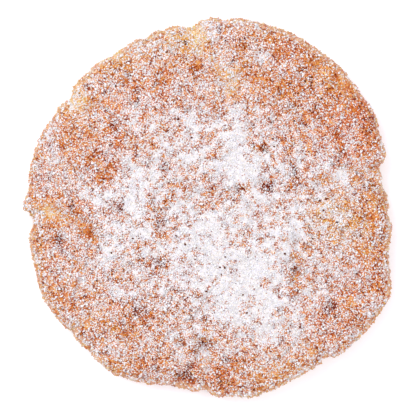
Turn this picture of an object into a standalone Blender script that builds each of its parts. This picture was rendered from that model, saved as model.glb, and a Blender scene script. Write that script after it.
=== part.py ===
"""A round ginger cookie with a cracked, pitted and crumbly top, lying on its flat base.

Units are metres, +Z is up, and the origin is on the base plane under the middle of the cookie's box.
The solid starts as an icosphere. Each of its points is laid on a turned profile (crown, shoulder, waist
and base), the profile is stretched to the uneven outline, and the surface is then pushed in and out
along its normals to make the lumps, cracks and pits.
"""

import math
import random

import bpy
from mathutils import Vector, noise

# Driving dimensions
MEAN_RADIUS = 0.0374  # of the outline seen from above
CENTRE = (0.0009, -0.0003)  # middle of that outline; the uneven lobes put it beside the box's middle
CROWN_HEIGHT = 0.0105  # thickness in the middle
CROWN_POWER = 2.4  # how late the top falls away towards the shoulder; 2 would be a plain dome
SHOULDER_HEIGHT = 0.0078  # where the top starts to roll over into the edge
WAIST_HEIGHT = 0.0032  # the widest level of the edge
SHOULDER_SHARE = 0.87  # of the outline's radius
BASE_SHARE = 0.955  # radius of the flat base, as a share of the outline's radius

# Shares of the icosphere's area, from the top down, that make the top and the edge; the rest is the base
TOP_AREA = 0.52
EDGE_AREA = 0.36

SPHERE_SUBDIVISIONS = 7
KEPT_TRIANGLES = 11000

# Bulges (+) and hollows (-) of the outline: direction in degrees from +X, half width in degrees, depth
OUTLINE_LOBES = (
    (3, 14, -0.0019),
    (5, 3, -0.0004),
    (11, 5, -0.0015),
    (24, 5, -0.0006),
    (32, 5, 0.0002),
    (42, 5, 0.0004),
    (65, 22, 0.0011),
    (80, 8, 0.0004),
    (93, 4, 0.0005),
    (108, 4, -0.0002),
    (128, 12, -0.0006),
    (141, 6, -0.0003),
    (149, 4, -0.0006),
    (173, 3, -0.0007),
    (180, 3, 0.0006),
    (185, 3, -0.0011),
    (210, 9, 0.0011),
    (227, 4, -0.0004),
    (236, 12, 0.0009),
    (258, 10, -0.0013),
    (286, 8, 0.0010),
    (312, 6, 0.0012),
    (322, 9, 0.0018),
    (334, 6, 0.0017),
    (347, 5, -0.0009),
)
LOBES_FROM = 0.2  # the lobes start at this share of the radius and are full at the outline
OUTLINE_ROUGHNESS = 0.00022
OUTLINE_GRAIN = 0.0028  # size of one small bulge of the outline

# Cracks that opened as the cookie spread: points from the edge inwards, half width, depth
CRACKS = (
    (((-0.0038, 0.0375), (-0.0010, 0.0325), (0.0028, 0.0278), (0.0058, 0.0238)), 0.0019, 0.0012),
    (((-0.0374, -0.0020), (-0.0318, -0.0008), (-0.0272, -0.0016), (-0.0236, -0.0046)), 0.0015, 0.0013),
    (((-0.0300, 0.0232), (-0.0264, 0.0208), (-0.0232, 0.0192)), 0.0014, 0.0009),
    (((0.0362, 0.0082), (0.0312, 0.0072), (0.0268, 0.0070), (0.0222, 0.0044)), 0.0012, 0.0011),
    (((-0.0008, -0.0380), (-0.0004, -0.0334), (-0.0009, -0.0292), (-0.0016, -0.0262)), 0.0013, 0.0011),
    (((0.0236, -0.0306), (0.0216, -0.0284), (0.0190, -0.0262)), 0.0010, 0.0007),
    (((-0.0282, -0.0262), (-0.0250, -0.0226), (-0.0206, -0.0198)), 0.0010, 0.0007),
    (((0.0172, -0.0062), (0.0180, -0.0112), (0.0168, -0.0152)), 0.0011, 0.0010),
    (((0.0104, 0.0058), (0.0062, 0.0036), (0.0010, 0.0040), (-0.0034, 0.0016)), 0.0011, 0.0008),
    (((-0.0208, 0.0072), (-0.0242, 0.0112), (-0.0222, 0.0152)), 0.0011, 0.0009),
    (((0.0292, 0.0216), (0.0258, 0.0250), (0.0218, 0.0280)), 0.0012, 0.0008),
)

CRACK_WANDER = (0.0042, 0.0010)  # size of one bend of a crack, and how far it strays from its line
CRACK_WAVER = 0.35  # how uneven its width is

# Larger pits, where a bubble broke: place and radius
PITS = (
    ((-0.0041, 0.0330), 0.0011),
    ((-0.0185, 0.0168), 0.0013),
    ((-0.0085, 0.0080), 0.0012),
    ((0.0115, 0.0116), 0.0012),
    ((0.0119, 0.0042), 0.0015),
    ((-0.0173, 0.0000), 0.0013),
    ((-0.0093, -0.0032), 0.0013),
    ((-0.0095, -0.0108), 0.0012),
    ((-0.0006, -0.0275), 0.0013),
    ((-0.0046, -0.0340), 0.0017),
    ((0.0049, 0.0288), 0.0010),
    ((-0.0299, -0.0065), 0.0014),
    ((0.0178, 0.0072), 0.0014),
    ((-0.0136, -0.0204), 0.0015),
    ((0.0246, -0.0196), 0.0014),
)
PIT_DEPTH_SHARE = 0.75  # of the pit's radius

SMALL_PITS = 90
SMALL_PIT_RADIUS = (0.0006, 0.0011)
SMALL_PIT_DEPTH_SHARE = 0.55
SEED = 11
REACH = 3.0  # a crack or a pit has died out this many half widths from its middle

# Relief of the crust: size of one form and how far it stands out
SWELLS = (0.0150, 0.00050)
LUMPS = (0.0058, 0.00042)
CRUMBS = (0.0024, 0.00024)
CRACKLE = (0.0090, 0.00030)  # a net of shallow cracks; the second value is its depth
CRACKLE_WIDTH = 0.10  # share of the noise's range that a crack takes up
CRACKLE_PLACE = Vector((7.0, 3.0, 1.0))  # the part of the noise that the net is cut from
RELIEF_FADE = 0.0016  # the relief dies out over this height above the base

CRUST_COLOR = (0.52, 0.24, 0.09, 1.0)
CRUST_ROUGHNESS = 0.85


def smooth_step(value, low, high):
    """0 below low, 1 above high, and a smooth rise between them."""
    share = min(1.0, max(0.0, (value - low) / (high - low)))
    return share * share * (3.0 - 2.0 * share)


def outline_radius(angle):
    """Distance from CENTRE to the outline, in the direction of angle (radians)."""
    radius = MEAN_RADIUS
    for direction, half_width, depth in OUTLINE_LOBES:
        away = math.degrees(angle) - direction
        away = (away + 180.0) % 360.0 - 180.0
        radius += depth * math.exp(-((away / half_width) ** 2))
    on_rim = Vector((math.cos(angle), math.sin(angle), 0.0)) * MEAN_RADIUS
    return radius + OUTLINE_ROUGHNESS * noise.noise(on_rim / OUTLINE_GRAIN)


def profile_point(area):
    """(share of the outline's radius, height) of the turned profile; area runs from 0, the crown, to 1."""
    if area < TOP_AREA:
        share = SHOULDER_SHARE * math.sqrt(area / TOP_AREA)
        drop = (CROWN_HEIGHT - SHOULDER_HEIGHT) * (share / SHOULDER_SHARE) ** CROWN_POWER
        return share, CROWN_HEIGHT - drop
    if area < TOP_AREA + EDGE_AREA:
        turn = math.pi * (area - TOP_AREA) / EDGE_AREA
        inner, rise = (
            (SHOULDER_SHARE, SHOULDER_HEIGHT - WAIST_HEIGHT)
            if turn < math.pi / 2
            else (BASE_SHARE, WAIST_HEIGHT)
        )
        return inner + (1.0 - inner) * math.sin(turn), WAIST_HEIGHT + rise * math.cos(turn)
    left = (1.0 - area) / (1.0 - TOP_AREA - EDGE_AREA)
    return BASE_SHARE * math.sqrt(max(0.0, left)), 0.0


def body_point(direction):
    """Where a point of the unit sphere lies on the smooth cookie."""
    share, height = profile_point((1.0 - direction.z) / 2.0)
    angle = math.atan2(direction.y, direction.x)
    radius = MEAN_RADIUS + (outline_radius(angle) - MEAN_RADIUS) * smooth_step(share, LOBES_FROM, 1.0)
    return Vector(
        (
            CENTRE[0] + share * radius * math.cos(angle),
            CENTRE[1] + share * radius * math.sin(angle),
            height,
        )
    )


def distance_to_line(point, line):
    """Shortest distance, seen from above, from a point to a line of several stretches."""
    nearest = math.inf
    for start, end in zip(line, line[1:]):
        along = (end[0] - start[0], end[1] - start[1])
        across = (point.x - start[0], point.y - start[1])
        share = (along[0] * across[0] + along[1] * across[1]) / (along[0] ** 2 + along[1] ** 2)
        share = min(1.0, max(0.0, share))
        nearest = min(nearest, math.hypot(across[0] - share * along[0], across[1] - share * along[1]))
    return nearest


def small_pits():
    """Places and radii of the small pits, spread evenly over the top by a seeded draw."""
    draw = random.Random(SEED)
    pits = []
    for _ in range(SMALL_PITS):
        angle = draw.uniform(0.0, 2.0 * math.pi)
        reach = MEAN_RADIUS * math.sqrt(draw.uniform(0.0, 1.0))
        radius = draw.uniform(*SMALL_PIT_RADIUS)
        pits.append(((CENTRE[0] + reach * math.cos(angle), CENTRE[1] + reach * math.sin(angle)), radius))
    return pits


def pit_depth(point, pits, depth_share):
    """How deep the pits are at a point."""
    depth = 0.0
    for place, radius in pits:
        away = math.hypot(point.x - place[0], point.y - place[1]) / radius
        if away < REACH:
            depth = max(depth, depth_share * radius * math.exp(-(away**2)))
    return depth


def crack_depth(point):
    """How deep the cracks are at a point. Noise makes them stray from their lines."""
    waver = 1.0 + CRACK_WAVER * noise.noise(point / CRUMBS[0])
    place = point + CRACK_WANDER[1] * noise.noise_vector(point / CRACK_WANDER[0])
    depth = 0.0
    for line, half_width, full_depth in CRACKS:
        away = distance_to_line(place, line) / (half_width * waver)
        if away < REACH:
            depth = max(depth, full_depth * math.exp(-(away**2)))
    return depth


def relief(point, pits):
    """How far the crust stands out (+) or in (-) at a point of the smooth cookie."""
    height = 0.0
    for size, amount in (SWELLS, LUMPS, CRUMBS):
        height += amount * noise.noise(point / size)
    net = abs(noise.noise(point / CRACKLE[0] + CRACKLE_PLACE))
    height -= CRACKLE[1] * (1.0 - smooth_step(net, 0.0, CRACKLE_WIDTH))
    height -= crack_depth(point)
    height -= pit_depth(point, PITS, PIT_DEPTH_SHARE)
    height -= pit_depth(point, pits, SMALL_PIT_DEPTH_SHARE)
    return height * smooth_step(point.z, 0.0, RELIEF_FADE)


def crust_material():
    """Baked brown crust."""
    material = bpy.data.materials.new("crust")
    material.use_nodes = True
    shader = material.node_tree.nodes["Principled BSDF"]
    shader.inputs["Base Color"].default_value = CRUST_COLOR
    shader.inputs["Roughness"].default_value = CRUST_ROUGHNESS
    shader.inputs["Metallic"].default_value = 0.0
    return material


def build_cookie(collection):
    """The cookie: one solid, with its relief."""
    bpy.ops.mesh.primitive_ico_sphere_add(subdivisions=SPHERE_SUBDIVISIONS, radius=1.0)
    cookie = bpy.context.object
    cookie.name = "cookie"
    mesh = cookie.data
    for vertex in mesh.vertices:
        vertex.co = body_point(vertex.co.normalized())
    mesh.update()
    pits = small_pits()
    normals = [vertex.normal.copy() for vertex in mesh.vertices]
    for vertex, normal in zip(mesh.vertices, normals):
        vertex.co += normal * relief(vertex.co, pits)
    mesh.update()
    mesh.shade_smooth()
    mesh.materials.append(crust_material())
    thin_out = cookie.modifiers.new("thin_out", "DECIMATE")
    thin_out.ratio = KEPT_TRIANGLES / len(mesh.polygons)
    for home in list(cookie.users_collection):
        home.objects.unlink(cookie)
    collection.objects.link(cookie)


def main():
    for item in list(bpy.data.objects):
        bpy.data.objects.remove(item)
    noise.seed_set(SEED)  # the bends of the cracks come from it
    collection = bpy.data.collections.new("ginger_cookie")
    bpy.context.scene.collection.children.link(collection)
    build_cookie(collection)


main()
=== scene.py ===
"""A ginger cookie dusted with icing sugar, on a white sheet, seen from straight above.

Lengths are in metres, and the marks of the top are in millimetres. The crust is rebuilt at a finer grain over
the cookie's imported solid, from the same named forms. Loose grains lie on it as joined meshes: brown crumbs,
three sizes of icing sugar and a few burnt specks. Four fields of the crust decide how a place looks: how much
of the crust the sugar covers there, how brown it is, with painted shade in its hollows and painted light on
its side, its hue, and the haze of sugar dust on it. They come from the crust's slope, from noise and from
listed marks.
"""

import math

import bpy
import numpy as np
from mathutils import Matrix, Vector, kdtree, noise


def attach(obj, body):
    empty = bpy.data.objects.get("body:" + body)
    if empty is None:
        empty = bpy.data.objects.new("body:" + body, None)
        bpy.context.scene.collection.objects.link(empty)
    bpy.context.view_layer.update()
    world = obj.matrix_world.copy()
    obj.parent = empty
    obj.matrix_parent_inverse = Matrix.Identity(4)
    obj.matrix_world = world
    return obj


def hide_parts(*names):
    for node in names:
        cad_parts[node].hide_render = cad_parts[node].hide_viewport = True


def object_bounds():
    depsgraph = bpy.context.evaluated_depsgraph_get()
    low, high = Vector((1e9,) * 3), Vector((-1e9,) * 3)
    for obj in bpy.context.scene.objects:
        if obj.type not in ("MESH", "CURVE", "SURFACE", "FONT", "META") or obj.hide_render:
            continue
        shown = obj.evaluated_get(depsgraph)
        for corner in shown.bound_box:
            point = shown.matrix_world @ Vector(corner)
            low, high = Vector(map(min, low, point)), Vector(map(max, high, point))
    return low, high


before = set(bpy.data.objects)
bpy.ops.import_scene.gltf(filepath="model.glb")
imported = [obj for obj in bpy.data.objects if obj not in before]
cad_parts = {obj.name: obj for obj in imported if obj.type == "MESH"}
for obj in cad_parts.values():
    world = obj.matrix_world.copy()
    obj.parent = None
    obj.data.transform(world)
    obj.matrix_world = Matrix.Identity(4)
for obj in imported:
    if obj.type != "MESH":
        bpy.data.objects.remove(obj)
CAD_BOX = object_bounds()

MM = 0.001

# The cookie's body, as its solid has it
MEAN_RADIUS = 0.0374  # of the outline seen from above
CENTRE = np.array((0.0009, -0.0003))
CROWN_HEIGHT = 0.0105  # thickness in the middle
CROWN_POWER = 2.4  # how late the top falls away towards the shoulder
SHOULDER_HEIGHT = 0.0078  # where the top starts to roll over into the edge
WAIST_HEIGHT = 0.0032  # the widest level of the edge
SHOULDER_SHARE = 0.87  # of the outline's radius
BASE_SHARE = 0.955
OUTLINE_LOBES = (  # direction in degrees from +X, half width in degrees, depth
    (3, 14, -0.0019),
    (5, 3, -0.0004),
    (11, 5, -0.0015),
    (24, 5, -0.0006),
    (32, 5, 0.0002),
    (42, 5, 0.0004),
    (65, 22, 0.0011),
    (80, 8, 0.0004),
    (93, 4, 0.0005),
    (108, 4, -0.0002),
    (128, 12, -0.0006),
    (141, 6, -0.0003),
    (149, 4, -0.0006),
    (173, 3, -0.0007),
    (180, 3, 0.0006),
    (185, 3, -0.0011),
    (210, 9, 0.0011),
    (227, 4, -0.0004),
    (236, 12, 0.0009),
    (258, 10, -0.0013),
    (286, 8, 0.0010),
    (312, 6, 0.0012),
    (322, 9, 0.0018),
    (334, 6, 0.0017),
    (347, 5, -0.0009),
)
LOBES_FROM = 0.2  # share of the radius at which the lobes start
OUTLINE_ROUGHNESS = 0.00022  # how far the small bulges of the outline stand out
OUTLINE_GRAIN = 0.0028  # size of one of them
CRACKS = (  # points of its line, half width, depth
    (((-0.0038, 0.0375), (-0.0010, 0.0325), (0.0028, 0.0278), (0.0058, 0.0238)), 0.0019, 0.0012),
    (((-0.0374, -0.0020), (-0.0318, -0.0008), (-0.0272, -0.0016), (-0.0236, -0.0046)), 0.0015, 0.0013),
    (((-0.0300, 0.0232), (-0.0264, 0.0208), (-0.0232, 0.0192)), 0.0014, 0.0009),
    (((0.0362, 0.0082), (0.0312, 0.0072), (0.0268, 0.0070), (0.0222, 0.0044)), 0.0012, 0.0011),
    (((-0.0008, -0.0380), (-0.0004, -0.0334), (-0.0009, -0.0292), (-0.0016, -0.0262)), 0.0013, 0.0011),
    (((0.0236, -0.0306), (0.0216, -0.0284), (0.0190, -0.0262)), 0.0010, 0.0007),
    (((-0.0282, -0.0262), (-0.0250, -0.0226), (-0.0206, -0.0198)), 0.0010, 0.0007),
    (((0.0172, -0.0062), (0.0180, -0.0112), (0.0168, -0.0152)), 0.0011, 0.0010),
    (((0.0104, 0.0058), (0.0062, 0.0036), (0.0010, 0.0040), (-0.0034, 0.0016)), 0.0011, 0.0008),
    (((-0.0208, 0.0072), (-0.0242, 0.0112), (-0.0222, 0.0152)), 0.0011, 0.0009),
    (((0.0292, 0.0216), (0.0258, 0.0250), (0.0218, 0.0280)), 0.0012, 0.0008),
)
CRACK_WANDER = (0.0042, 0.0010)  # size of one bend of a crack, and how far it strays from its line
CRACK_SEED = 11  # the bends come from it
CRACK_WAVER = 0.35  # how uneven its width is
PITS = (  # place and radius
    ((-0.0041, 0.0330), 0.0011),
    ((-0.0185, 0.0168), 0.0013),
    ((-0.0085, 0.0080), 0.0012),
    ((0.0115, 0.0116), 0.0012),
    ((0.0119, 0.0042), 0.0015),
    ((-0.0173, 0.0000), 0.0013),
    ((-0.0093, -0.0032), 0.0013),
    ((-0.0095, -0.0108), 0.0012),
    ((-0.0006, -0.0275), 0.0013),
    ((-0.0046, -0.0340), 0.0017),
    ((0.0049, 0.0288), 0.0010),
    ((-0.0299, -0.0065), 0.0014),
    ((0.0178, 0.0072), 0.0014),
    ((-0.0136, -0.0204), 0.0015),
    ((0.0246, -0.0196), 0.0014),
)
PIT_DEPTH_SHARE = 0.75  # of the pit's radius
SWELLS = (0.0150, 0.00050)  # size of one form of the relief, and how far it stands out
LUMPS = (0.0058, 0.00042)
CRUMBLE = (0.0024, 0.00024)
CRACKLE = (0.0090, 0.00030)  # a net of shallow cracks
CRACKLE_WIDTH = 0.10  # share of the noise's range that a crack takes up
CRACKLE_PLACE = (7.0, 3.0, 1.0)  # the part of the noise that the net is cut from
RELIEF_FADE = 0.0016  # the relief dies out over this height above the base
REACH = 3.0  # a pit has died out this many radii from its middle

# The finer mesh of the crust: shares of a sphere's area that its top and its edge take
SPHERE_SUBDIVISIONS = 8
TOP_AREA = 0.60
EDGE_AREA = 0.34
KEPT_TRIANGLES = 196000

# Finer relief of the crust: size of one form and how far it stands out
GRANULES = (0.00135, 0.00016)
GRANULE_GAP = 0.45  # width of the gaps between granules, as a share of their size
GRIT = (0.00062, 0.00007)
TEARS = (0.0030, 0.00030)
TEAR_STRETCH = (0.45, 0.45, 2.2)  # the edge's splits run around the cookie rather than up it
TEAR_WIDTH = 0.16  # share of the noise's range that a split takes up
SMALL_PITS = (260, (0.00035, 0.0010), 0.6, 23)  # count, radii, depth as a share of the radius, seed
BASE_PORES = (420, (0.0003, 0.0009), 0.45, 31)
BED_DEPTH = 0.00016  # the crust lies this much under its solid, to leave room for what lies on it
BURIED = (0.60, 0.95)  # sugar's cover that starts to bury what is under it, and that does so in full
BURIED_SHARE = 0.75  # of the fine relief, under the deepest sugar

# Upward part of the crust's normal where each of these starts, and where it is in full
FILM_SLOPE = (0.04, 0.56)  # sugar lies there
SIDE_SLOPE = (0.75, 0.35)  # the crust is paler, partly its own lighter bake and partly painted light, with larger crumbs
TEAR_SLOPE = (0.6, 0.2)  # the crust is split
DUST_SLOPE = (0.70, 0.30)  # too steep for more than dust
DUST_SHELTER = (-0.4, 0.0)  # open to the dust
UNDER_SLOPE = (-0.5, -0.9)  # the base
CRUMB_SLOPE = (-0.6, -0.2)  # crumbs lie there
BURNT_SLOPE = (0.2, 0.6)  # burnt specks lie there

# Sugar's cover of the crust, from 0 to 1: size and strength of its patches, and their place in the noise
SUGAR_MIDDLE = (2.5, -2.5)  # millimetres
SUGAR_IN_MIDDLE = 0.70
SUGAR_AT_RIM = 0.52
SUGAR_REACH = (14.0, 34.0)  # millimetres from the middle where the sugar thins out to that of the rim
SUGAR_PATCHES = (0.0030, 0.10, (3.0, 8.0, 0.5))
SUGAR_MOTTLE = (0.0012, 0.30, (1.0, 4.0, 0.5))
MOTTLE_AT_RIM = 0.5  # share of the mottle's strength that is left at the rim
MOST_SUGAR = 0.95
LEAST_SUGAR = 0.03

# Browning of the crust, with painted shade in hollows and pits and painted light on the side: -1 is pale
# dough, 0 caramel and 1 dark brown
BROWN_PATCHES = (0.0042, 0.20, (2.0, 0.0, 5.0))
BROWN_MOTTLE = (0.0012, 0.40, (0.0, 6.0, 1.0))
SHADE_IN_HOLLOWS = 0.5  # painted shade: darker per millimetre of depth of the pits and of the gaps between granules
PALE_IN_CRACKS = 0.4  # per millimetre of depth
BROWN_IN_MIDDLE = 0.12
BROWN_AT_RIM = -0.08
PALE_AND_LIT_SIDE = 0.70  # how much paler the side is than the top: partly its own lighter bake, partly painted light from the bright sheet around it
BROWN_UNDER = 0.15  # how much browner the base is
MOST_BROWN = 1.0

# Hue of the crust: -1 is ruddy and 1 golden. Size and strength of its patches
HUE_PATCHES = (0.0060, 0.20)

# Haze of sugar dust, from 0 to 1
HAZE_IN_DEPTH = 0.28  # on the gaps between the grains, where the sugar is deepest
HAZE_COVER = (0.45, 0.95)  # sugar's cover where that haze starts, and where it is in full
HAZE_ON_SIDE = 0.15
HAZE_PATCHES = (0.0026, 1.3)  # size of the dusty patches of the side, and how much they differ
MOST_HAZE = 2.0  # of one patch, as a multiple of HAZE_ON_SIDE

# Marks of the top, in millimetres: place, radius and strength
DRIFTS = (
    (6.5, 8.6, 3.6, 1.0),
    (4.9, 17.2, 1.9, 1.0),
    (1.5, -4.4, 3.0, 1.0),
    (8.7, -11.8, 3.1, 1.1),
    (5.5, -16.4, 4.0, 0.7),
    (1.5, -10.4, 3.2, 0.8),
    (4.9, -21.0, 2.6, 0.4),
    (8.5, -26.0, 2.0, 0.5),
    (12.5, -24.8, 2.6, 0.9),
    (12.7, -20.0, 2.4, 0.9),
    (-15.5, 1.6, 2.2, 0.9),
    (-14.5, 7.0, 3.0, 0.8),
    (-10.3, 9.4, 2.0, 0.7),
    (-3.9, 9.0, 1.8, 0.6),
    (-2.5, 16.6, 3.0, 0.7),
    (-4.5, -6.4, 2.4, 0.6),
    (-16.0, -4.6, 2.4, 0.6),
    (26.5, 6.6, 1.8, 1.0),
    (10.9, 30.0, 1.9, 0.9),
    (15.4, 27.6, 1.8, 1.0),
    (25.5, -13.4, 2.4, 0.3),
    (-17.5, -17.0, 2.2, 0.4),
    (-24.1, -15.8, 2.2, 0.5),
    (-0.9, -29.4, 1.2, 1.0),
    (-9.5, 32.0, 4.2, 0.7),
    (-6.1, 24.2, 2.0, 0.6),
    (0.9, 36.4, 2.0, 0.6),
    (3.5, 33.0, 3.2, 0.5),
    (8.5, 32.4, 1.6, 0.4),
    (4.3, 28.4, 2.0, 0.6),
    (-24.0, 25.0, 3.0, 0.4),
    (-30.6, 14.0, 3.2, 0.5),
    (-31.0, 9.5, 3.0, 0.4),
    (-27.0, 4.0, 2.6, 0.7),
    (-20.5, 1.6, 2.4, 1.0),
    (-26.5, -7.5, 3.0, 0.6),
    (-30.8, -12.4, 2.8, 0.5),
    (-19.5, -9.0, 2.4, 0.7),
    (-26.5, -22.4, 2.0, 0.4),
    (-20.0, -21.0, 2.4, 0.4),
    (-18.5, -27.4, 2.2, 0.7),
    (-6.5, -27.0, 2.6, 0.6),
    (-11.5, -34.2, 1.8, 0.8),
    (11.5, -29.6, 3.0, 0.4),
    (17.5, -28.0, 2.6, 0.5),
    (22.5, -21.0, 3.4, 0.6),
    (28.5, -26.4, 2.2, 0.4),
    (33.1, -19.0, 2.4, 0.5),
    (22.5, 9.0, 2.8, 0.4),
    (28.5, 3.6, 2.0, 0.4),
    (14.5, -5.5, 2.8, 0.6),
    (14.9, -10.4, 1.6, 0.4),
    (9.9, 0.4, 1.8, 0.6),
    (-14.1, 18.2, 2.7, 0.7),
)
# Marks over the pits: less sugar lies there, and their darker, ruddier colour is painted shade of the pits
SHADED_PITS = (
    (-18.7, 16.0, 1.2, 0.5),
    (-17.7, 12.8, 1.3, 0.7),
    (-22.5, 10.6, 1.4, 0.5),
    (-20.9, 6.2, 1.5, 0.8),
    (-18.5, 8.2, 1.3, 0.7),
    (-2.3, 28.2, 1.2, 0.9),
    (-4.1, 23.2, 1.2, 0.6),
    (1.9, 18.4, 1.2, 0.5),
    (-8.9, 8.0, 1.3, 0.8),
    (0.9, 4.2, 1.8, 0.6),
    (6.5, 3.6, 1.1, 0.7),
    (11.1, 12.2, 1.1, 0.7),
    (11.9, 4.2, 1.2, 1.3),
    (17.1, 4.6, 1.5, 0.5),
    (-17.5, 0.0, 1.2, 0.6),
    (-8.9, -0.4, 1.7, 0.5),
    (-26.5, -1.4, 1.3, 0.6),
    (-23.9, -4.4, 1.6, 0.6),
    (-30.1, -6.4, 1.1, 0.8),
    (-9.5, -10.8, 1.1, 0.7),
    (17.1, -12.6, 1.3, 0.8),
    (16.5, -17.4, 1.1, 0.5),
    (-11.9, -21.4, 1.0, 0.6),
    (-0.5, -26.8, 1.4, 0.7),
    (-6.3, -34.2, 1.6, 0.6),
    (-2.9, -34.6, 1.6, 0.5),
    (2.5, -33.4, 1.6, 0.6),
    (23.5, -20.8, 1.9, 0.4),
    (33.3, 13.0, 1.6, 0.6),
    (32.5, 17.2, 1.8, 0.9),
    (29.1, 20.0, 2.5, 0.6),
    (26.5, 26.0, 2.2, 0.4),
    (15.3, 30.4, 1.8, 0.5),
    (34.1, -16.0, 1.4, 0.3),
    (34.9, -6.4, 1.3, 0.4),
    (7.1, 33.6, 2.0, 0.4),
)
BARE_PATCHES = (
    (15.3, 24.4, 2.6, 0.9),
    (10.3, 25.4, 2.5, 1.0),
    (12.9, 34.2, 2.2, 0.5),
    (-28.1, 13.4, 2.6, 0.8),
    (-29.7, -1.8, 1.8, 0.6),
    (23.7, 16.8, 2.6, 0.8),
    (17.9, 20.2, 1.6, 0.6),
    (24.5, 12.6, 2.4, 0.5),
    (31.0, -2.6, 1.9, 0.5),
    (34.1, 3.6, 2.8, 0.7),
    (32.5, -9.4, 1.8, 0.6),
    (26.5, -3.4, 3.6, 0.3),
    (2.5, -35.8, 3.0, 0.4),
    (11.3, -34.8, 2.8, 0.6),
    (17.1, -31.8, 1.8, 0.5),
    (-10.1, -31.0, 2.2, 0.8),
    (-16.5, -32.6, 1.8, 0.4),
    (-31.1, -16.2, 1.8, 0.6),
    (-18.5, -31.8, 2.0, 0.8),
    (-18.9, -23.8, 1.8, 0.9),
    (-24.9, -4.0, 1.6, 0.6),
    (-20.9, 6.6, 2.0, 0.6),
    (27.9, 24.8, 4.6, 1.0),
    (23.5, -20.8, 1.8, 0.5),
    (-20.5, 21.6, 2.4, 0.4),
    (-13.1, 24.0, 2.2, 0.8),
    (-8.1, 27.6, 2.4, 0.5),
    (-13.5, 12.4, 2.6, 0.8),
    (-9.1, 14.6, 1.6, 0.5),
    (-4.3, 13.6, 1.6, 0.5),
    (0.3, 13.8, 1.4, 0.6),
    (-7.0, 5.4, 2.4, 0.6),
    (-9.3, -4.5, 2.4, 0.5),
    (-1.0, 0.5, 2.8, 0.6),
    (-9.5, -10.0, 2.0, 0.4),
    (3.5, 20.9, 2.6, 0.4),
    (11.5, 11.8, 1.6, 0.7),
    (15.1, 9.4, 1.8, 0.6),
    (8.0, 4.6, 2.2, 0.5),
    (18.0, 5.2, 2.8, 0.6),
    (19.1, 13.5, 2.5, 0.5),
    (20.5, 30.0, 2.8, 0.8),
    (30.5, 10.0, 2.0, 0.4),
    (19.5, -7.8, 1.8, 0.9),
    (10.3, -7.0, 1.6, 0.4),
    (-12.5, -15.0, 2.0, 0.4),
    (-16.5, -16.0, 2.0, 0.3),
    (-13.5, -22.4, 1.8, 0.5),
    (-5.5, -20.6, 1.8, 0.6),
    (-9.5, -21.8, 2.8, 0.6),
    (-15.0, -22.5, 2.0, 0.4),
    (17.4, -14.0, 2.0, 0.6),
    (28.5, -17.4, 1.8, 0.6),
)
PALE_PATCHES = (
    (-1.5, 35.2, 2.0, 1.2),
    (-4.7, 33.2, 1.6, 0.8),
    (-2.1, 31.6, 1.5, 0.8),
    (5.1, 27.2, 1.6, 0.8),
    (4.1, 23.2, 1.6, 0.8),
    (-25.9, 22.0, 1.8, 1.0),
    (-17.5, 30.0, 1.8, 0.8),
    (-32.3, -0.6, 2.0, 0.9),
    (-7.1, 34.4, 1.9, 0.8),
    (15.5, -33.0, 5.0, 0.5),
    (33.5, -0.6, 3.4, 0.4),
    (-33.5, -9.0, 3.0, 0.4),
    (23.5, -1.2, 4.2, 0.7),
    (28.5, -5.4, 2.6, 0.5),
)
RUDDY_PARTS = (
    (27.0, 14.0, 7.0, 1.0),
    (31.0, 21.0, 4.0, 0.8),
    (16.0, 29.5, 4.0, 0.7),
    (11.0, 25.0, 3.0, 0.5),
    (29.0, -14.0, 5.0, 0.8),
    (23.0, -23.0, 5.0, 0.9),
    (-11.0, 24.0, 4.5, 0.7),
    (-18.0, 20.0, 4.0, 0.5),
    (-21.0, 11.0, 5.0, 0.7),
    (-25.0, -1.0, 4.0, 0.6),
    (-29.0, -8.0, 3.0, 0.5),
    (1.0, -34.0, 4.0, 0.8),
    (-9.0, -33.0, 4.0, 0.6),
    (34.0, -2.0, 3.0, 0.6),
    (-33.5, 4.0, 2.0, 0.7),
)
GOLDEN_PARTS = (
    (-3.0, 34.0, 4.0, 1.3),
    (-9.5, 31.5, 4.0, 0.8),
    (-17.0, 28.5, 3.5, 0.7),
    (-27.0, 21.5, 3.5, 1.1),
    (4.5, 25.5, 2.5, 0.8),
    (9.5, 30.0, 2.0, 0.5),
    (25.5, -3.0, 6.5, 1.2),
    (-33.0, -1.5, 2.5, 0.3),
    (6.0, -12.0, 8.0, 0.5),
    (-12.0, 0.0, 6.0, 0.3),
    (5.5, 11.0, 5.0, 0.4),
)
MARKS = (  # marks, and what they add to the sugar's cover, to the browning (painted shade for the marks over the pits) and to the hue
    (DRIFTS, 0.22, 0.0, 0.1),
    (SHADED_PITS, -0.32, 0.25, -0.4),
    (BARE_PATCHES, -0.20, -0.1, 0.0),
    (PALE_PATCHES, -0.04, -0.7, 0.3),
    (RUDDY_PARTS, 0.0, 0.0, -1.0),
    (GOLDEN_PARTS, 0.0, 0.0, 1.0),
)

# Loose grains: count, sizes, subdivisions of their sphere (0 is an octahedron), how far they sit in, seed
CRUMBS = (24000, (0.00032, 0.00058), 0, 0.50, 40)
CRUMB_SPREAD = 0.29  # how much one crumb's tone differs from the next one's
DARKEST_CRUMB = 0.34
CRUMB_HUE_SPREAD = 0.7
COAT_ON_TOP = 0.25  # how much more sugar a crumb's top holds than its middle
LESS_COAT_ON_DARK = 0.8
CLEAN_FROM = 0.25  # crumbs darker than this by their tone hold no loose sugar
CRUMBS_KEPT_OFF = (-1.3, -0.7)  # browning at which pale dough has no crumbs, and at which it has them all
LARGER_ON_SIDE = 0.7  # how much larger the crumbs of the side are
CRUMBS_BURIED = 0.24  # how much deeper crumbs sit in where the sugar buries them, as a share of their size
SUGAR_BURIED = 0.14  # the same for grains of sugar
PAINTED_LIGHT_ON_TOP = 0.15  # painted light and shade: how much whiter a grain of sugar is on top than in its middle, and greyer towards its foot
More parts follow.
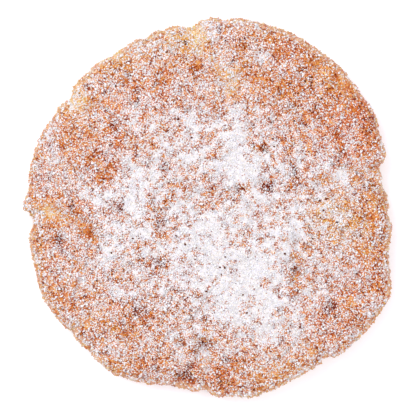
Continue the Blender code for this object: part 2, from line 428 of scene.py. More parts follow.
SUGARS = (  # name, grains, and how strongly they gather where the sugar is deep
    ("sugar_powder", (24000, (0.00015, 0.00026), 0, 0.30, 41), 0.6),
    ("sugar_grains", (14000, (0.00024, 0.00038), 0, 0.35, 42), 1.0),
    ("sugar_clumps", (2200, (0.00036, 0.00058), 1, 0.45, 43), 1.5),
)
HEADROOM = 0.0002  # how far grains may stand above the solid's top
BURNT = (150, (0.00028, 0.00055), 1, 0.40, 44)
BURNT_SPOTS = ((-4.1, 33.0), (4.9, 28.8), (21.1, 25.4), (11.7, 4.4), (-8.7, 8.2), (17.3, -12.4))
BURNT_SPOT_SPREAD = 0.5  # millimetres
BURNT_SPOT_SHARE = 0.12  # of all burnt specks
UNEVENNESS = 0.28  # how far a grain's points stray in and out, as a share of its radius
TINY = 1e-15  # least length that a normal is divided by

# Colours
BAKED_STOPS = (  # tone and colour, from pale dough to nearly burnt
    (0.00, (0.66, 0.46, 0.27)),
    (0.22, (0.66, 0.350, 0.150)),
    (0.46, (0.58, 0.220, 0.065)),
    (0.68, (0.43, 0.110, 0.024)),
    (0.86, (0.25, 0.042, 0.012)),
    (1.00, (0.100, 0.015, 0.008)),
)
CARAMEL_TONE = 0.50  # place of caramel on BAKED_STOPS
BAKED_TINTS = ((1.04, 0.77, 1.12), (0.96, 1.24, 0.90))  # ruddy, golden
BAKED_CASTS = ((1.02, 1.02, 0.55), (0.98, 0.98, 1.50))  # warm, dull
SUGAR_WHITE = (0.79, 0.785, 0.82)
SUGAR_DEEP = (0.715, 0.69, 0.71)  # where it lies deep and smooth
SUGAR_STOPS = ((0.0, (0.69, 0.66, 0.695)), (0.7, SUGAR_WHITE))
SUGAR_CASTS = ((1.015, 1.005, 0.93), (0.985, 0.995, 1.07))  # warm, cool
BURNT_STOPS = ((0.3, (0.070, 0.015, 0.007)), (0.7, (0.160, 0.040, 0.012)))
SHEET_STOPS = ((0.3, (0.80, 0.81, 0.88)), (0.7, (0.82, 0.83, 0.90)))

# Finishes: roughness and specular level of the shader
CRUST_FINISH = (0.9, 0.06)
SUGAR_FINISH = (0.9, 0.2)
BURNT_FINISH = (0.8, 0.1)
SHEET_FINISH = (0.9, 0.0)
CRUST_BUMP = (0.5, 0.00012)  # strength and distance

# Textures: size of one form, then detail and roughness of the noise
GRIT_TEXTURE = (0.00030, 3.0, 0.6)
BLOTCH_TEXTURE = (0.0011, 2.0)
POWDER_TEXTURE = (0.00025, 2.0, 0.6)
SPECK_TEXTURE = (0.00045, 1.0)
CRUMB_TEXTURE = (0.00024, 1.0)
CLUMP_TEXTURE = (0.0009, 2.0)
HUE_TEXTURE = (0.00025, 1.0)
CAST_TEXTURE = (0.00030, 1.0)
BURNT_TEXTURE = (0.0009, 1.0)
SHEET_TEXTURE = (0.2, 1.0)
TEXTURE_MIDDLE = 0.5

# Tone, the place on BAKED_STOPS: how much the browning adds, and the tone without it
CRUST_TONE = (0.42, 0.56)
CRUMB_TONE = (0.42, 0.55)
GRIT_IN_TONE = 1.4  # how much each texture swings it
BLOTCHES_IN_TONE = 0.6
POWDER_IN_TONE = -0.8
CRUMB_IN_TONE = 0.6
SPECKS = (0.62, 0.70)  # part of their texture that makes specks of darker, cleaner crust
SPECKS_IN_TONE = 0.25

# Film of fine sugar: how much cover the sugar field adds, and the cover without it
CRUST_COVER = (0.48, -0.31)
CRUMB_COVER = (1.5, -0.60)
DEEP_COVER = (0.65, 0.95, 0.0, 0.20)  # sugar field that starts to add more, and in full; least and most added
SPECKS_IN_COVER = -0.15
CRUMB_IN_COVER = 1.2
CRUST_FILM = (0.48, 0.56, 0.0, 0.95)  # cover where the film starts, and is in full; least and most film
CRUMB_FILM = (0.80, 0.95, 0.0, 0.95)

# Tints of the grains one by one: how much a texture swings them, and the swing with a full tint
HUE_SWING = 7.0
MOST_HUE = 3.6
CAST_SWING = 5.0
MOST_CAST = 1.0
SUGAR_SWING = 0.8  # how much a texture swings the sugar's white

# Stage
FLOOR_RADIUS = 1.6
FLOOR_SIDES = 96
FLOOR_GLOW = 0.22  # the sheet lies on a light table, which takes most of the shadow away
PHOTO_SIDE = 416  # pixels
PIXEL = 0.0002  # side of one pixel of the photo at the cookie
PHOTO_ORIGIN = (207.5, 208.0)  # pixel that the cookie's origin falls on
CAMERA_HEIGHT = 0.70
FOCUS_HEIGHT = 0.004  # level at which the pixel has its size
SENSOR = 36.0  # millimetres
CLIPPED = (0.01, 10.0)  # nearest and farthest that the camera sees
WHITE_LIGHT = (1.0, 1.0, 1.0)
WORLD_LIGHT = 0.90
SOFTBOXES = (  # name, place, side, power in watts
    ("key", (-0.45, 0.40, 0.75), 0.5, 5.2),
    ("fill", (0.55, -0.45, 0.70), 0.7, 3.0),
)


def smooth_step(value, low, high):
    """0 below low, 1 above high, and a smooth rise between them."""
    share = np.clip((value - low) / (high - low), 0.0, 1.0)
    return share * share * (3.0 - 2.0 * share)


def noise_at(points, size, place=(0.0, 0.0, 0.0)):
    """Noise of forms of this size at each point, from about -1 to 1."""
    return np.array([noise.noise(p) for p in (points / size + np.array(place)).tolist()])


def granules_at(points, size):
    """Rounded grains of this size, from 0 in the gaps between them to about 1 on top."""
    near = np.array([noise.voronoi(p)[0][:2] for p in (points / size).tolist()])
    return smooth_step(near[:, 1] - near[:, 0], 0.0, GRANULE_GAP)


# The crust's form


def outline_radius(angle):
    """Distance from CENTRE to the outline, in the direction of angle (radians)."""
    radius = np.full(len(angle), MEAN_RADIUS)
    for direction, half_width, depth in OUTLINE_LOBES:
        away = (np.degrees(angle) - direction + 180.0) % 360.0 - 180.0
        radius += depth * np.exp(-((away / half_width) ** 2))
    on_rim = np.stack([np.cos(angle), np.sin(angle), np.zeros(len(angle))], axis=1) * MEAN_RADIUS
    return radius + OUTLINE_ROUGHNESS * noise_at(on_rim, OUTLINE_GRAIN)


def body_points(directions):
    """Where points of the unit sphere lie on the smooth cookie."""
    area = (1.0 - directions[:, 2]) / 2.0
    top_share = SHOULDER_SHARE * np.sqrt(np.clip(area / TOP_AREA, 0.0, 1.0))
    drop = (CROWN_HEIGHT - SHOULDER_HEIGHT) * (top_share / SHOULDER_SHARE) ** CROWN_POWER
    top_height = CROWN_HEIGHT - drop
    turn = math.pi * np.clip((area - TOP_AREA) / EDGE_AREA, 0.0, 1.0)
    upper = turn < math.pi / 2
    inner = np.where(upper, SHOULDER_SHARE, BASE_SHARE)
    rise = np.where(upper, SHOULDER_HEIGHT - WAIST_HEIGHT, WAIST_HEIGHT)
    edge_share = inner + (1.0 - inner) * np.sin(turn)
    edge_height = WAIST_HEIGHT + rise * np.cos(turn)
    base_share = BASE_SHARE * np.sqrt(np.clip((1.0 - area) / (1.0 - TOP_AREA - EDGE_AREA), 0.0, 1.0))
    on_top = area < TOP_AREA
    on_edge = area < TOP_AREA + EDGE_AREA
    share = np.where(on_top, top_share, np.where(on_edge, edge_share, base_share))
    height = np.where(on_top, top_height, np.where(on_edge, edge_height, 0.0))
    angle = np.arctan2(directions[:, 1], directions[:, 0])
    radius = MEAN_RADIUS + (outline_radius(angle) - MEAN_RADIUS) * smooth_step(share, LOBES_FROM, 1.0)
    return np.stack(
        [
            CENTRE[0] + share * radius * np.cos(angle),
            CENTRE[1] + share * radius * np.sin(angle),
            height,
        ],
        axis=1,
    )


def distance_to_line(places, line):
    """Shortest distance, seen from above, from each place to a line of several stretches."""
    nearest = np.full(len(places), np.inf)
    for start, end in zip(np.array(line), np.array(line[1:])):
        along = end - start
        across = places - start
        share = np.clip(across @ along / (along @ along), 0.0, 1.0)
        nearest = np.minimum(nearest, np.linalg.norm(across - share[:, None] * along, axis=1))
    return nearest


def crack_depth(points):
    """How deep the cracks are at each point. Noise makes them stray from their lines."""
    noise.seed_set(CRACK_SEED)
    waver = 1.0 + CRACK_WAVER * noise_at(points, CRUMBLE[0])
    stray = np.array([noise.noise_vector(p) for p in (points / CRACK_WANDER[0]).tolist()])
    places = (points + CRACK_WANDER[1] * stray)[:, :2]
    depth = np.zeros(len(points))
    for line, half_width, full_depth in CRACKS:
        away = distance_to_line(places, line) / (half_width * waver)
        depth = np.maximum(depth, full_depth * np.exp(-(away**2)))
    return depth


def scattered_pits(count, radii, seed):
    """Places and radii of small pits, spread evenly by a seeded draw."""
    draw = np.random.default_rng(seed)
    angle = draw.uniform(0.0, 2.0 * math.pi, count)
    reach = MEAN_RADIUS * np.sqrt(draw.uniform(0.0, 1.0, count))
    places = CENTRE + np.stack([reach * np.cos(angle), reach * np.sin(angle)], axis=1)
    return list(zip(places, draw.uniform(*radii, count)))


def pit_depth(points, pits, depth_share):
    """How deep the pits are at each point."""
    depth = np.zeros(len(points))
    for place, radius in pits:
        close = np.flatnonzero(np.abs(points[:, 0] - place[0]) < REACH * radius)
        away = np.linalg.norm(points[close, :2] - np.array(place), axis=1) / radius
        depth[close] = np.maximum(depth[close], depth_share * radius * np.exp(-(away**2)))
    return depth


def scattered_depth(points, pores):
    """How deep one kind of small pit is at each point."""
    count, radii, depth_share, seed = pores
    return pit_depth(points, scattered_pits(count, radii, seed), depth_share)


def main_relief(points):
    """The relief that the solid has: how far the crust stands out, and how deep its cracks and pits are."""
    height = sum(amount * noise_at(points, size) for size, amount in (SWELLS, LUMPS, CRUMBLE))
    net = np.abs(noise_at(points, CRACKLE[0], CRACKLE_PLACE))
    crackle = CRACKLE[1] * (1.0 - smooth_step(net, 0.0, CRACKLE_WIDTH))
    cracks = crack_depth(points)
    pits = pit_depth(points, PITS, PIT_DEPTH_SHARE)
    return height - crackle - cracks - pits, cracks, pits


def side_splits(points, upward):
    """How deep the splits of the edge are at each point."""
    net = np.abs(noise_at(points * np.array(TEAR_STRETCH), TEARS[0]))
    return TEARS[1] * smooth_step(upward, *TEAR_SLOPE) * (1.0 - smooth_step(net, 0.0, TEAR_WIDTH))


# The fields of the crust


def mark_fields(places):
    """(sugar, browning, hue) that the marks add at each place seen from above; the browning of the marks over
    the pits is painted shade.
    """
    fields = np.zeros((3, len(places)))
    for marks, *added in MARKS:
        weight = np.zeros(len(places))
        for x, y, radius, strength in marks:
            away = np.linalg.norm(places / MM - np.array((x, y)), axis=1) / radius
            weight += strength * np.exp(-(away**2))
        fields += np.array(added)[:, None] * weight
    return fields


def towards_rim(points):
    """0 in the middle of the sugar and 1 at the rim."""
    return smooth_step(np.linalg.norm(points[:, :2] / MM - np.array(SUGAR_MIDDLE), axis=1), *SUGAR_REACH)


def sugar_cover(points, from_marks):
    """Share of the surface that the sugar covers at each point, if it lies level there."""
    out = towards_rim(points)
    cover = SUGAR_IN_MIDDLE + (SUGAR_AT_RIM - SUGAR_IN_MIDDLE) * out + from_marks
    flat = points * np.array((1.0, 1.0, 0.0))
    size, strength, place = SUGAR_PATCHES
    cover += strength * noise_at(flat, size, place)
    size, strength, place = SUGAR_MOTTLE
    cover += strength * (1.0 + (MOTTLE_AT_RIM - 1.0) * out) * noise_at(flat, size, place)
    return np.clip(cover, LEAST_SUGAR, MOST_SUGAR)


def browning_and_shade(points, upward, under, from_marks, cracks, hollows):
    """How brown the crust is at each point, with painted shade in its hollows and over its pits and painted
    light on its side.
    """
    by_place = BROWN_IN_MIDDLE + (BROWN_AT_RIM - BROWN_IN_MIDDLE) * towards_rim(points)
    brown = (from_marks + by_place) * (1.0 - under)
    # painted shade, darker in the hollows; the cracks are paler dough
    brown += SHADE_IN_HOLLOWS * hollows / MM - PALE_IN_CRACKS * cracks / MM
    for size, strength, place in (BROWN_PATCHES, BROWN_MOTTLE):
        brown += strength * noise_at(points, size, place)
    # the side is paler, partly its own lighter bake and partly painted light
    brown -= PALE_AND_LIT_SIDE * smooth_step(upward, *SIDE_SLOPE) * (1.0 - under)
    brown += BROWN_UNDER * under
    return np.clip(brown, -MOST_BROWN, MOST_BROWN)


def sugar_haze(points, upward, sugar):
    """How much sugar dust clings to each point, between the grains of deep sugar and on the side."""
    dusty = smooth_step(upward, *DUST_SLOPE) * smooth_step(upward, *DUST_SHELTER)
    patches = np.clip(1.0 + HAZE_PATCHES[1] * noise_at(points, HAZE_PATCHES[0]), 0.0, MOST_HAZE)
    return HAZE_IN_DEPTH * smooth_step(sugar, *HAZE_COVER) + HAZE_ON_SIDE * dusty * patches


# Meshes


def mesh_object(name, points, triangles):
    """A smooth-shaded mesh object from arrays."""
    mesh = bpy.data.meshes.new(name)
    mesh.from_pydata(points.tolist(), [], triangles.tolist())
    mesh.shade_smooth()
    piece = bpy.data.objects.new(name, mesh)
    bpy.context.scene.collection.objects.link(piece)
    return piece


def read_vectors(items, name):
    """One vector of each item, as (count, 3)."""
    values = np.empty(len(items) * 3, np.float32)
    items.foreach_get(name, values)
    return values.reshape(-1, 3).astype(float)


def read_points(mesh):
    return read_vectors(mesh.vertices, "co")


def read_field(mesh, name):
    values = np.empty(len(mesh.vertices), np.float32)
    mesh.attributes[name].data.foreach_get("value", values)
    return values


def write_points(mesh, points):
    mesh.vertices.foreach_set("co", points.astype(np.float32).ravel())
    mesh.update()


def write_field(mesh, name, values):
    mesh.attributes.new(name, "FLOAT", "POINT").data.foreach_set("value", values.astype(np.float32))


def build_crust():
    """The cookie itself, at a finer grain than its solid, with its fields."""
    bpy.ops.mesh.primitive_ico_sphere_add(subdivisions=SPHERE_SUBDIVISIONS, radius=1.0)
    crust = bpy.context.object
    crust.name = "cookie_crust"
    mesh = crust.data
    directions = read_points(mesh)
    directions /= np.linalg.norm(directions, axis=1)[:, None]
    body = body_points(directions)
    write_points(mesh, body)
    normals = read_vectors(mesh.vertex_normals, "vector")
    upward = normals[:, 2]
    under = smooth_step(upward, *UNDER_SLOPE)
    more_sugar, more_browning_and_shade, hue = mark_fields(body[:, :2])
    sugar = sugar_cover(body, more_sugar) * smooth_step(upward, *FILM_SLOPE)

    relief, cracks, pits = main_relief(body)
    small = scattered_depth(body, SMALL_PITS)
    granules = granules_at(body, GRANULES[0])
    fine = GRANULES[1] * (granules - 0.5) + GRIT[1] * noise_at(body, GRIT[0])
    bare = 1.0 - BURIED_SHARE * smooth_step(sugar, *BURIED)
    height = relief + bare * (fine - small) - side_splits(body, upward) - BED_DEPTH
    height *= smooth_step(body[:, 2], 0.0, RELIEF_FADE)
    height -= under * scattered_depth(body, BASE_PORES)
    write_points(mesh, body + normals * height[:, None])

    hollows = pits + small + GRANULES[1] * (1.0 - granules)
    write_field(mesh, "sugar", sugar)
    write_field(mesh, "haze", sugar_haze(body, upward, sugar))
    # the brown field also carries painted shade in the hollows and over the pits, and painted light on the
    # side
    write_field(mesh, "brown", browning_and_shade(body, upward, under, more_browning_and_shade, cracks, hollows))
    write_field(mesh, "hue", hue * (1.0 - under) + HUE_PATCHES[1] * noise_at(body, HUE_PATCHES[0]))
    thin_out = crust.modifiers.new("thin_out", "DECIMATE")
    thin_out.ratio = KEPT_TRIANGLES / len(mesh.polygons)
    bpy.ops.object.modifier_apply(modifier=thin_out.name)
    mesh.shade_smooth()
    return crust


def grain_shape(subdivisions):
    """(points, triangles) of a unit icosphere, or of an octahedron if subdivisions is 0."""
    if subdivisions == 0:
        points = np.array([(1, 0, 0), (-1, 0, 0), (0, 1, 0), (0, -1, 0), (0, 0, 1), (0, 0, -1)], float)
        triangles = [(0, 2, 4), (2, 1, 4), (1, 3, 4), (3, 0, 4), (2, 0, 5), (1, 2, 5), (3, 1, 5), (0, 3, 5)]
        return points, np.array(triangles)
    bpy.ops.mesh.primitive_ico_sphere_add(subdivisions=subdivisions, radius=1.0)
    sphere = bpy.context.object
    points = read_points(sphere.data)
    triangles = np.array([tuple(face.vertices) for face in sphere.data.polygons])
    bpy.data.objects.remove(sphere)
    return points, triangles


def random_turns(draw, count):
    """Rotation matrices of count random turns, as (count, 3, 3)."""
    quaternion = draw.normal(size=(count, 4))
    w, x, y, z = (quaternion / np.linalg.norm(quaternion, axis=1)[:, None]).T
    return np.stack(
        [
            np.stack([1 - 2 * (y * y + z * z), 2 * (x * y - w * z), 2 * (x * z + w * y)], axis=1),
            np.stack([2 * (x * y + w * z), 1 - 2 * (x * x + z * z), 2 * (y * z - w * x)], axis=1),
            np.stack([2 * (x * z - w * y), 2 * (y * z + w * x), 1 - 2 * (x * x + y * y)], axis=1),
        ],
        axis=1,
    )


class Faces:
    """The crust's faces, as arrays: corners, normal, area, and the fields of each."""

    def __init__(self, crust):
        mesh = crust.data
        triangles = np.empty(len(mesh.polygons) * 3, np.int32)
        mesh.polygons.foreach_get("vertices", triangles)
        triangles = triangles.reshape(-1, 3)
        self.corners = read_points(mesh)[triangles]
        first, second, third = self.corners.transpose(1, 0, 2)
        cross = np.cross(second - first, third - first)
        length = np.linalg.norm(cross, axis=1)
        self.normals = cross / np.maximum(length, TINY)[:, None]
        self.areas = length / 2.0
        self.sugar, self.brown, self.hue, self.haze = (
            read_field(mesh, name)[triangles].mean(axis=1) for name in ("sugar", "brown", "hue", "haze")
        )

    def chosen(self, draw, count, weight):
        """count places drawn by weight: (numbers of their faces, places)."""
        share = weight * self.areas
        numbers = draw.choice(len(share), size=count, p=share / share.sum())
        mix = draw.dirichlet((1.0, 1.0, 1.0), size=count)
        return numbers, np.einsum("nk,nkc->nc", mix, self.corners[numbers])


def lay(places, normals, radii, sink):
    """Centres of grains that lie at these places, sunk in by a share of their size."""
    centres = places + normals * (radii * (1.0 - 2.0 * sink))[:, None]
    reach = radii * (1.0 + UNEVENNESS)
    centres[:, 2] = np.clip(centres[:, 2], reach, CAD_BOX[1].z + HEADROOM - reach)
    return centres


def join_grains(name, draw, centres, radii, subdivisions):
    """(piece, points of one grain): uneven grains at these centres, joined in one mesh."""
    count = len(centres)
    points, triangles = grain_shape(subdivisions)
    uneven = 1.0 + draw.uniform(-UNEVENNESS, UNEVENNESS, (count, len(points), 1))
    shapes = np.einsum("nij,nkj->nki", random_turns(draw, count), points[None] * uneven)
    shapes = shapes * radii[:, None, None] + centres[:, None, :]
    offsets = np.arange(count)[:, None, None] * len(points)
    piece = mesh_object(name, shapes.reshape(-1, 3), (triangles[None] + offsets).reshape(-1, 3))
    return piece, len(points)


def height_on_grain(piece, centres, radii, each):
    """How high on its grain each point is: about -1 at its foot and 1 on its top."""
    return (read_points(piece.data)[:, 2] - np.repeat(centres[:, 2], each)) / np.repeat(radii, each)


def build_crumbs(faces):
    """(piece, (centres, radii, tones)): brown crumbs all over the top and the edge."""
    count, sizes, subdivisions, sink, seed = CRUMBS
    draw = np.random.default_rng(seed)
    weight = smooth_step(faces.normals[:, 2], *CRUMB_SLOPE) * smooth_step(faces.brown, *CRUMBS_KEPT_OFF)
    numbers, places = faces.chosen(draw, count, weight)
    normals = faces.normals[numbers]
    sugar = faces.sugar[numbers]
    larger = 1.0 + LARGER_ON_SIDE * smooth_step(normals[:, 2], *SIDE_SLOPE)
    radii = draw.uniform(*sizes, count) / 2.0 * larger
    centres = lay(places, normals, radii, sink + CRUMBS_BURIED * smooth_step(sugar, *BURIED))
    piece, each = join_grains("crust_crumbs", draw, centres, radii, subdivisions)
    tone = np.minimum(CRUMB_SPREAD * draw.normal(size=count), DARKEST_CRUMB)
    coat = np.repeat(draw.uniform(0.0, 1.0, count) - LESS_COAT_ON_DARK * tone, each)
    hue = faces.hue[numbers] + CRUMB_HUE_SPREAD * draw.normal(size=count)
    brown, haze = faces.brown[numbers], faces.haze[numbers]
    for name, values in (("sugar", sugar), ("brown", brown), ("hue", hue), ("haze", haze), ("tone", tone)):
        write_field(piece.data, name, np.repeat(values, each))
    write_field(piece.data, "coat", coat + COAT_ON_TOP * height_on_grain(piece, centres, radii, each))
    return piece, (centres, radii, tone)


def rest_on(places, normals, crumbs):
    """(places, which of them stay): those inside a crumb move to its upper side, or go if it is dark."""
    centres, radii, tone = crumbs
    tree = kdtree.KDTree(len(centres))
    for number, centre in enumerate(centres.tolist()):
        tree.insert(centre, number)
    tree.balance()
    nearest = np.array([tree.find(place)[1] for place in places.tolist()])
    away = places - centres[nearest]
    inside = np.linalg.norm(away, axis=1) < radii[nearest]
    away += normals * radii[nearest, None]
    away *= (radii[nearest] / np.linalg.norm(away, axis=1))[:, None]
    rested = np.where(inside[:, None], centres[nearest] + away, places)
    return rested, ~(inside & (tone[nearest] > CLEAN_FROM))


def build_sugar(name, grains, gathering, faces, crumbs):
    """One size of the icing sugar, lying on the crust and its crumbs."""
    count, sizes, subdivisions, sink, seed = grains
    draw = np.random.default_rng(seed)
    depth = -np.log(1.0 - faces.sugar)
    weight = depth**gathering * smooth_step(faces.normals[:, 2], *FILM_SLOPE)
    numbers, places = faces.chosen(draw, count, weight)
    normals = faces.normals[numbers]
    places, stay = rest_on(places, normals, crumbs)
    buried = smooth_step(faces.sugar[numbers], *BURIED)
    radii = draw.uniform(*sizes, count) / 2.0
    centres = lay(places, normals, radii, sink + SUGAR_BURIED * buried)[stay]
    radii = radii[stay]
    piece, each = join_grains(name, draw, centres, radii, subdivisions)
    tone = draw.uniform(0.0, 1.0, len(centres))
    # painted light and shade: each grain is whiter on its top and greyer towards its foot
    rise = height_on_grain(piece, centres, radii, each)
    write_field(piece.data, "tone", np.repeat(tone, each) + PAINTED_LIGHT_ON_TOP * rise)
    return piece


def build_burnt_specks(faces):
    """Burnt crumbs: most of them anywhere on the top, and a few close together at each burnt spot."""
    count, sizes, subdivisions, sink, seed = BURNT
    draw = np.random.default_rng(seed)
    weight = smooth_step(faces.normals[:, 2], *BURNT_SLOPE)
    middles = faces.corners.mean(axis=1)[:, :2] / MM
    spots = np.zeros(len(middles))
    for spot in BURNT_SPOTS:
        away = np.linalg.norm(middles - np.array(spot), axis=1) / BURNT_SPOT_SPREAD
        spots += np.exp(-(away**2))
    even = weight / (weight * faces.areas).sum()
    close = spots / (spots * faces.areas).sum()
    numbers, places = faces.chosen(draw, count, even + (close - even) * BURNT_SPOT_SHARE)
    radii = draw.uniform(*sizes, count) / 2.0
    centres = lay(places, faces.normals[numbers], radii, sink)
    return join_grains("burnt_specks", draw, centres, radii, subdivisions)[0]


# Materials


class Look:
    """A material and its nodes. A value is a socket or a number, and a colour is a socket or a tuple."""

    def __init__(self, name, roughness, specular):
        self.material = bpy.data.materials.new(name)
        self.material.use_nodes = True
        self.nodes, self.links = self.material.node_tree.nodes, self.material.node_tree.links
        self.shader = self.nodes["Principled BSDF"].inputs
        self.shader["Roughness"].default_value = roughness
        self.shader["Specular IOR Level"].default_value = specular
        self.place = self.nodes.new("ShaderNodeTexCoord").outputs["Object"]

    def put(self, value, socket):
        """Gives a socket its value or colour."""
        if isinstance(value, bpy.types.NodeSocket):
            self.links.new(value, socket)
        elif isinstance(value, tuple):
            socket.default_value = (*value, 1.0)
        else:
            socket.default_value = value

    def attribute(self, name):
        node = self.nodes.new("ShaderNodeAttribute")
        node.attribute_name = name
        return node.outputs["Fac"]

    def texture(self, size, detail, roughness=0.5):
        node = self.nodes.new("ShaderNodeTexNoise")
        self.put(self.place, node.inputs["Vector"])
        for name, value in (("Scale", 1.0 / size), ("Detail", detail), ("Roughness", roughness)):
            self.put(value, node.inputs[name])
        return node.outputs["Fac"]

    def math(self, operation, *values):
        node = self.nodes.new("ShaderNodeMath")
        node.operation = operation
        for value, socket in zip(values, node.inputs):
            self.put(value, socket)
        return node.outputs["Value"]

    def varied(self, value, texture, swing):
        """value, plus swing times how far the texture is from its middle."""
        away = self.math("SUBTRACT", texture, TEXTURE_MIDDLE)
        return self.math("MULTIPLY_ADD", away, swing, value)

    def ranged(self, value, low, high, to_low=0.0, to_high=1.0):
        """to_low where value is below low, to_high where it is above high, and a smooth rise between them."""
        node = self.nodes.new("ShaderNodeMapRange")
        node.interpolation_type = "SMOOTHSTEP"
        names = ("Value", "From Min", "From Max", "To Min", "To Max")
        for name, number in zip(names, (value, low, high, to_low, to_high)):
            self.put(number, node.inputs[name])
        return node.outputs["Result"]

    def ramp(self, value, stops):
        node = self.nodes.new("ShaderNodeValToRGB")
        elements = node.color_ramp.elements
        while len(elements) < len(stops):
            elements.new(0.5)
        for element, (place, color) in zip(elements, stops):
            element.position = place
            element.color = (*color, 1.0)
        self.put(value, node.inputs["Fac"])
        return node.outputs["Color"]

    def mix(self, share, first, second, blend="MIX"):
        """Mixes two colours by a share."""
        node = self.nodes.new("ShaderNodeMix")
        node.data_type = "RGBA"
        node.blend_type = blend
        for value, socket in ((share, "Factor"), (first, 6), (second, 7)):
            self.put(value, node.inputs[socket])
        return node.outputs[2]

    def tinted(self, color, hue, most, tints):
        """color, tinted from the first tint where hue is -most to the second where it is most."""
        tint = self.ramp(self.ranged(hue, -most, most), ((0.0, tints[0]), (1.0, tints[1])))
        return self.mix(1.0, color, tint, "MULTIPLY")

    def cast(self):
        """Which of two casts a grain takes, from -MOST_CAST to MOST_CAST."""
        return self.varied(0.0, self.texture(*CAST_TEXTURE), CAST_SWING)

    def finished(self, color):
        """The material, in this colour."""
        self.put(color, self.shader["Base Color"])
        return self.material


def dusted(look, tone, film):
    """Baked colour of this tone under a film of sugar. The crust that a film covers is caramel, not dark."""
    film = look.math("MAXIMUM", film, look.attribute("haze"))
    tone = look.math("MULTIPLY_ADD", film, look.math("SUBTRACT", CARAMEL_TONE, tone), tone)
    hue = look.varied(look.attribute("hue"), look.texture(*HUE_TEXTURE), HUE_SWING)
    cast = look.cast()
    baked = look.tinted(look.ramp(tone, BAKED_STOPS), hue, MOST_HUE, BAKED_TINTS)
    baked = look.tinted(baked, cast, MOST_CAST, BAKED_CASTS)
    white = look.mix(look.ranged(look.attribute("sugar"), *BURIED), SUGAR_WHITE, SUGAR_DEEP)
    white = look.tinted(white, cast, MOST_CAST, SUGAR_CASTS)
    return look.mix(film, baked, white)


def crust_material():
    """Baked crust: browner and paler patches, crumb by crumb, under a film of fine sugar."""
    look = Look("crust", *CRUST_FINISH)
    grit = look.texture(*GRIT_TEXTURE)
    blotches = look.texture(*BLOTCH_TEXTURE)
    powder = look.texture(*POWDER_TEXTURE)
    specks = look.ranged(look.texture(*SPECK_TEXTURE), *SPECKS)
    tone = look.math("MULTIPLY_ADD", look.attribute("brown"), *CRUST_TONE)
    for texture, swing in ((grit, GRIT_IN_TONE), (blotches, BLOTCHES_IN_TONE), (powder, POWDER_IN_TONE)):
        tone = look.varied(tone, texture, swing)
    tone = look.math("MULTIPLY_ADD", specks, SPECKS_IN_TONE, tone)
    cover = look.math("MULTIPLY_ADD", look.attribute("sugar"), *CRUST_COVER)
    cover = look.math("ADD", cover, powder)
    cover = look.math("ADD", cover, look.ranged(look.attribute("sugar"), *DEEP_COVER))
    cover = look.math("MULTIPLY_ADD", specks, SPECKS_IN_COVER, cover)
    bump = look.nodes.new("ShaderNodeBump")
    for name, value in zip(("Strength", "Distance", "Height"), (*CRUST_BUMP, grit)):
        look.put(value, bump.inputs[name])
    look.put(bump.outputs["Normal"], look.shader["Normal"])
    return look.finished(dusted(look, tone, look.ranged(cover, *CRUST_FILM)))


def crumb_material():
    """Crumbs of the crust, each of its own brown, some of them coated by the sugar."""
    look = Look("crumbs", *CRUST_FINISH)
    grit = look.texture(*CRUMB_TEXTURE)
    tone = look.math("MULTIPLY_ADD", look.attribute("brown"), *CRUMB_TONE)
    tone = look.math("ADD", tone, look.attribute("tone"))
    tone = look.varied(tone, grit, CRUMB_IN_TONE)
    cover = look.math("MULTIPLY_ADD", look.attribute("sugar"), *CRUMB_COVER)
    cover = look.math("ADD", cover, look.attribute("coat"))
    cover = look.varied(cover, grit, CRUMB_IN_COVER)
    return look.finished(dusted(look, tone, look.ranged(cover, *CRUMB_FILM)))


def sugar_material(name):
    """Icing sugar: white, with faint lilac greys from clump to clump, and painted shade towards each grain's
    foot.
    """
    look = Look(name, *SUGAR_FINISH)
    tone = look.varied(look.attribute("tone"), look.texture(*CLUMP_TEXTURE), SUGAR_SWING)
    return look.finished(look.tinted(look.ramp(tone, SUGAR_STOPS), look.cast(), MOST_CAST, SUGAR_CASTS))


def burnt_material():
    """Specks of burnt sugar and spice."""
    look = Look("burnt", *BURNT_FINISH)
    return look.finished(look.ramp(look.texture(*BURNT_TEXTURE), BURNT_STOPS))


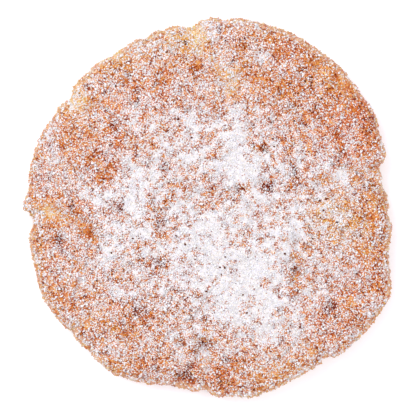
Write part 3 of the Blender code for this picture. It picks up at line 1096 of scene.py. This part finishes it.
def floor_material():
    """A seamless white sheet, lit from under it."""
    look = Look("floor", *SHEET_FINISH)
    look.put(WHITE_LIGHT, look.shader["Emission Color"])
    look.put(FLOOR_GLOW, look.shader["Emission Strength"])
    return look.finished(look.ramp(look.texture(*SHEET_TEXTURE), SHEET_STOPS))


# Stage


def build_floor():
    bpy.ops.mesh.primitive_circle_add(vertices=FLOOR_SIDES, radius=FLOOR_RADIUS, fill_type="NGON")
    floor = bpy.context.object
    floor.name = "floor"
    floor.data.materials.append(floor_material())


def build_camera():
    data = bpy.data.cameras.new("camera")
    data.sensor_width = SENSOR
    data.lens = SENSOR * (CAMERA_HEIGHT - FOCUS_HEIGHT) / (PHOTO_SIDE * PIXEL)
    data.clip_start, data.clip_end = CLIPPED
    camera = bpy.data.objects.new("camera", data)
    middle = PHOTO_SIDE / 2
    camera.location = (
        (middle - PHOTO_ORIGIN[0]) * PIXEL,
        (PHOTO_ORIGIN[1] - middle) * PIXEL,
        CAMERA_HEIGHT,
    )
    bpy.context.scene.collection.objects.link(camera)
    bpy.context.scene.camera = camera


def build_light():
    """A white room and two soft boxes that face the cookie."""
    world = bpy.data.worlds.new("studio")
    world.use_nodes = True
    background = world.node_tree.nodes["Background"]
    background.inputs["Color"].default_value = (*WHITE_LIGHT, 1.0)
    background.inputs["Strength"].default_value = WORLD_LIGHT
    bpy.context.scene.world = world
    for name, place, side, power in SOFTBOXES:
        data = bpy.data.lights.new(name, "AREA")
        data.size = side
        data.energy = power
        box = bpy.data.objects.new(name, data)
        box.location = place
        box.rotation_euler = (-Vector(place)).to_track_quat("-Z", "Y").to_euler()
        bpy.context.scene.collection.objects.link(box)
    bpy.context.scene.view_settings.view_transform = "Standard"


def dress(piece, material):
    """Gives a piece its material and hangs it on the cookie."""
    piece.data.materials.append(material)
    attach(piece, "root")


def main():
    build_floor()
    build_camera()
    build_light()

    crust = build_crust()
    dress(crust, crust_material())
    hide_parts("cookie")

    faces = Faces(crust)
    crumb_piece, crumbs = build_crumbs(faces)
    dress(crumb_piece, crumb_material())
    for name, grains, gathering in SUGARS:
        sugar = build_sugar(name, grains, gathering, faces, crumbs)
        dress(sugar, sugar_material(name))
    dress(build_burnt_specks(faces), burnt_material())


main()
